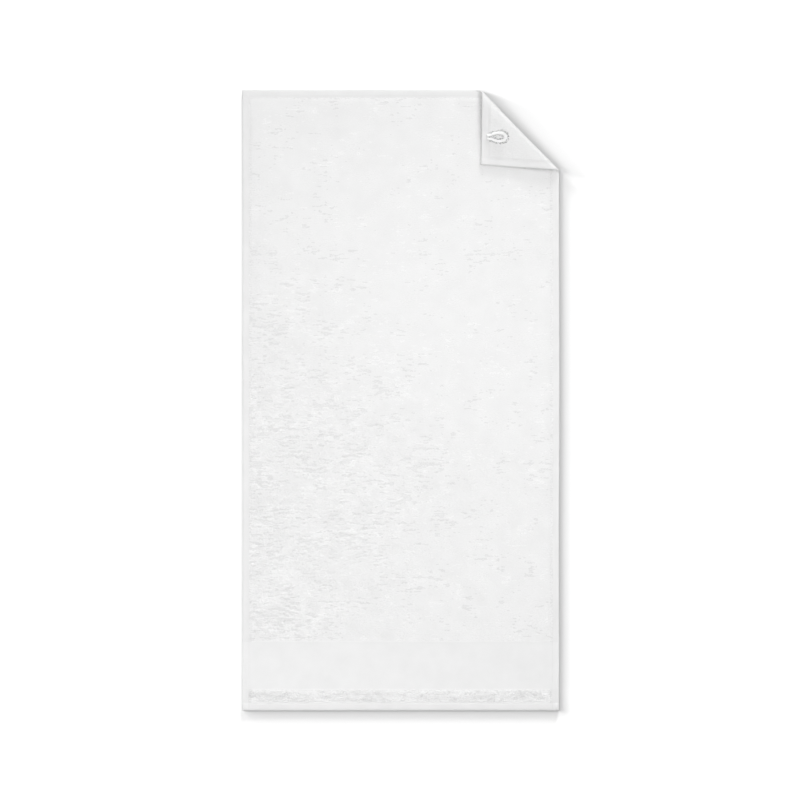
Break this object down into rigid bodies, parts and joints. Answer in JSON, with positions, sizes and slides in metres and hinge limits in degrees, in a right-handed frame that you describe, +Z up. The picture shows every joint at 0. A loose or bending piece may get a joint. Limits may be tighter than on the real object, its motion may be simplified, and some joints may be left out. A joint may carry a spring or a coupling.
{
  "type": "hand towel",
  "caption": "White terry hand towel lying flat, face up, with a plain woven band near its bottom end and its top right corner turned over to show a hanging loop.",
  "frame": {"origin": "under the middle of the towel, on the surface that it lies on", "axes": "+Z up from the surface, +Y along the towel towards its top end with the turned corner, +X towards its right edge"},
  "size_m": [0.5013, 0.9803, 0.0164],
  "materials": {
    "terry_cloth": "white cotton terry, matt, loops on both faces",
    "braided_cord": "white braided cotton cord, matt"
  },
  "bodies": {
    "root": {"towel": "terry_cloth", "hanger_loop": "braided_cord"}
  },
  "joints": []
}
